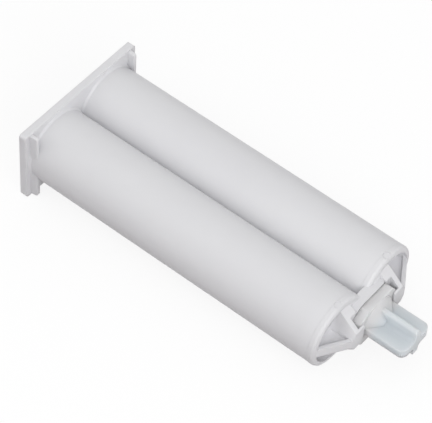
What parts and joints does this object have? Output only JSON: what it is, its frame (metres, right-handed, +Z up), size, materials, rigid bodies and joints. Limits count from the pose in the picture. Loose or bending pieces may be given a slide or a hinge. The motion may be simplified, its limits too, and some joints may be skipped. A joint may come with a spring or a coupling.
{
  "type": "two-part adhesive cartridge",
  "caption": "Side-by-side twin-barrel cartridge of two-part adhesive with a rear flange, sliding pistons and a plugged bayonet outlet, lying on its side.",
  "frame": {"origin": "middle of the rear flange's back face", "axes": "+X along the barrels from the flange to the outlet, +Y across the two barrels, +Z up as it lies"},
  "size_m": [0.1164, 0.0454, 0.0248],
  "materials": {
    "cartridge_plastic": "moulded polypropylene, opaque pale grey, fine satin",
    "plug_plastic": "moulded natural polypropylene, milky, slightly see-through",
    "piston_plastic": "moulded polyethylene, milky white",
    "resin": "thick off-white paste",
    "hardener": "thick dark grey paste"
  },
  "bodies": {
    "cartridge": {"cartridge_body": "cartridge_plastic", "resin_fill": "resin", "hardener_fill": "hardener"},
    "resin_piston": {"resin_piston": "piston_plastic"},
    "hardener_piston": {"hardener_piston": "piston_plastic"},
    "closure_plug": {"closure_plug": "plug_plastic"}
  },
  "joints": [
    {"name": "resin_piston_slide", "type": "slide", "parent": "cartridge", "child": "resin_piston", "axis": [1, 0, 0], "range_m": [0, 0.0853], "deforming": ["resin_fill"]},
    {"name": "hardener_piston_slide", "type": "slide", "parent": "cartridge", "child": "hardener_piston", "axis": [1, 0, 0], "range_m": [0, 0.0853], "deforming": ["hardener_fill"]},
    {"name": "plug_turn", "type": "hinge", "parent": "cartridge", "child": "closure_plug", "pos_m": [0.1009, 0, 0], "axis": [1, 0, 0], "range_deg": [0, 90]}
  ]
}
